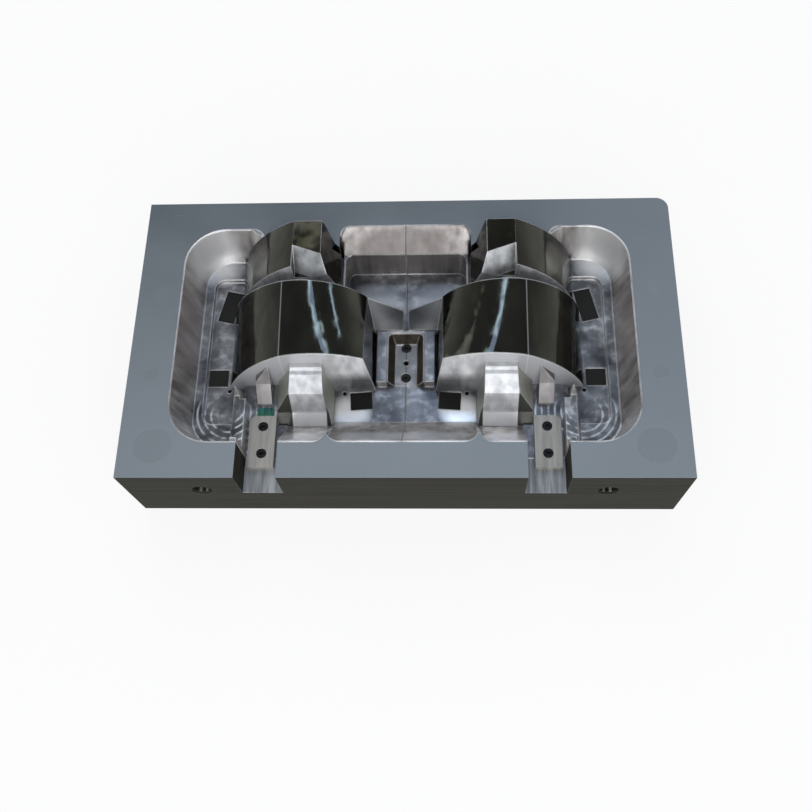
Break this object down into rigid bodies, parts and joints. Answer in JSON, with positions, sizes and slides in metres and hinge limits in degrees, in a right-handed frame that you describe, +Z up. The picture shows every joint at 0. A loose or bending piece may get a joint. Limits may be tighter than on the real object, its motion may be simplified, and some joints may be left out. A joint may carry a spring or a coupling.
{
  "type": "injection mould core plate",
  "caption": "Core half of a two-impression injection mould: pocketed plate, split core inserts with polished arched cores, slide slots, ejector blocks and pins.",
  "frame": {"origin": "centre of the plate's underside", "axes": "+X along the plate, +Y from the slide (front) face to the rear face, +Z up out of the parting face"},
  "size_m": [0.8, 0.45, 0.194],
  "materials": {
    "ground_plate": "fine ground, satin",
    "milled_insert": "milled, semi-bright",
    "polished_core": "mirror polish, oiled",
    "satin_core": "milled and stoned",
    "wear_steel": "hardened and ground",
    "black_ejector": "nitrided, matt black",
    "pin_steel": "ground",
    "screw_black": "black oxide"
  },
  "bodies": {
    "core_half": {"mould_plate": "ground_plate", "runner_block": "milled_insert", "runner_block_screws": "screw_black", "wear_plate_screws": "screw_black", "insert_screws": "screw_black", "parting_pads": "ground_plate", "core_insert_left": "milled_insert", "arch_core_left": "polished_core", "rear_lobe_core_left": "polished_core", "front_lobe_core_left": "satin_core", "shutoff_block_left": "satin_core", "wear_plate_left": "wear_steel", "core_insert_right": "milled_insert", "arch_core_right": "polished_core", "rear_lobe_core_right": "polished_core", "front_lobe_core_right": "satin_core", "shutoff_block_right": "satin_core", "wear_plate_right": "wear_steel"},
    "return_front_left": {"return_pin_front_left": "pin_steel"},
    "return_front_right": {"return_pin_front_right": "pin_steel"},
    "return_rear_left": {"return_pin_rear_left": "pin_steel"},
    "return_rear_right": {"return_pin_rear_right": "pin_steel"},
    "ejector_rear_left": {"ejector_block_rear_left": "black_ejector", "ejector_rod_rear_left": "pin_steel"},
    "ejector_side_left": {"ejector_block_side_left": "black_ejector", "ejector_rod_side_left": "pin_steel"},
    "ejector_inner_left": {"ejector_block_inner_left": "black_ejector", "ejector_rod_inner_left": "pin_steel"},
    "pin_inner_left": {"ejector_pin_inner_left": "pin_steel"},
    "pin_outer_left": {"ejector_pin_outer_left": "pin_steel"},
    "ejector_rear_right": {"ejector_block_rear_right": "black_ejector", "ejector_rod_rear_right": "pin_steel"},
    "ejector_side_right": {"ejector_block_side_right": "black_ejector", "ejector_rod_side_right": "pin_steel"},
    "ejector_inner_right": {"ejector_block_inner_right": "black_ejector", "ejector_rod_inner_right": "pin_steel"},
    "pin_inner_right": {"ejector_pin_inner_right": "pin_steel"},
    "pin_outer_right": {"ejector_pin_outer_right": "pin_steel"},
    "sprue_puller": {"sprue_puller_pin": "pin_steel"}
  },
  "joints": [
    {"name": "return_front_left_slide", "type": "slide", "parent": "core_half", "child": "return_front_left", "axis": [0, 0, 1], "range_m": [0, 0.03]},
    {"name": "return_front_right_slide", "type": "slide", "parent": "core_half", "child": "return_front_right", "axis": [0, 0, 1], "range_m": [0, 0.03]},
    {"name": "return_rear_left_slide", "type": "slide", "parent": "core_half", "child": "return_rear_left", "axis": [0, 0, 1], "range_m": [0, 0.03]},
    {"name": "return_rear_right_slide", "type": "slide", "parent": "core_half", "child": "return_rear_right", "axis": [0, 0, 1], "range_m": [0, 0.03]},
    {"name": "ejector_rear_left_slide", "type": "slide", "parent": "core_half", "child": "ejector_rear_left", "axis": [0, 0, 1], "range_m": [0, 0.03]},
    {"name": "ejector_side_left_slide", "type": "slide", "parent": "core_half", "child": "ejector_side_left", "axis": [0, 0, 1], "range_m": [0, 0.03]},
    {"name": "ejector_inner_left_slide", "type": "slide", "parent": "core_half", "child": "ejector_inner_left", "axis": [0, 0, 1], "range_m": [0, 0.03]},
    {"name": "pin_inner_left_slide", "type": "slide", "parent": "core_half", "child": "pin_inner_left", "axis": [0, 0, 1], "range_m": [0, 0.03]},
    {"name": "pin_outer_left_slide", "type": "slide", "parent": "core_half", "child": "pin_outer_left", "axis": [0, 0, 1], "range_m": [0, 0.03]},
    {"name": "ejector_rear_right_slide", "type": "slide", "parent": "core_half", "child": "ejector_rear_right", "axis": [0, 0, 1], "range_m": [0, 0.03]},
    {"name": "ejector_side_right_slide", "type": "slide", "parent": "core_half", "child": "ejector_side_right", "axis": [0, 0, 1], "range_m": [0, 0.03]},
    {"name": "ejector_inner_right_slide", "type": "slide", "parent": "core_half", "child": "ejector_inner_right", "axis": [0, 0, 1], "range_m": [0, 0.03]},
    {"name": "pin_inner_right_slide", "type": "slide", "parent": "core_half", "child": "pin_inner_right", "axis": [0, 0, 1], "range_m": [0, 0.03]},
    {"name": "pin_outer_right_slide", "type": "slide", "parent": "core_half", "child": "pin_outer_right", "axis": [0, 0, 1], "range_m": [0, 0.03]},
    {"name": "sprue_puller_slide", "type": "slide", "parent": "core_half", "child": "sprue_puller", "axis": [0, 0, 1], "range_m": [0, 0.03]}
  ],
  "couplings": [
    {"joint": "return_front_right_slide", "follows": "return_front_left_slide", "ratio": 1},
    {"joint": "return_rear_left_slide", "follows": "return_front_left_slide", "ratio": 1},
    {"joint": "return_rear_right_slide", "follows": "return_front_left_slide", "ratio": 1},
    {"joint": "ejector_rear_left_slide", "follows": "return_front_left_slide", "ratio": 1},
    {"joint": "ejector_side_left_slide", "follows": "return_front_left_slide", "ratio": 1},
    {"joint": "ejector_inner_left_slide", "follows": "return_front_left_slide", "ratio": 1},
    {"joint": "pin_inner_left_slide", "follows": "return_front_left_slide", "ratio": 1},
    {"joint": "pin_outer_left_slide", "follows": "return_front_left_slide", "ratio": 1},
    {"joint": "ejector_rear_right_slide", "follows": "return_front_left_slide", "ratio": 1},
    {"joint": "ejector_side_right_slide", "follows": "return_front_left_slide", "ratio": 1},
    {"joint": "ejector_inner_right_slide", "follows": "return_front_left_slide", "ratio": 1},
    {"joint": "pin_inner_right_slide", "follows": "return_front_left_slide", "ratio": 1},
    {"joint": "pin_outer_right_slide", "follows": "return_front_left_slide", "ratio": 1},
    {"joint": "sprue_puller_slide", "follows": "return_front_left_slide", "ratio": 1}
  ]
}
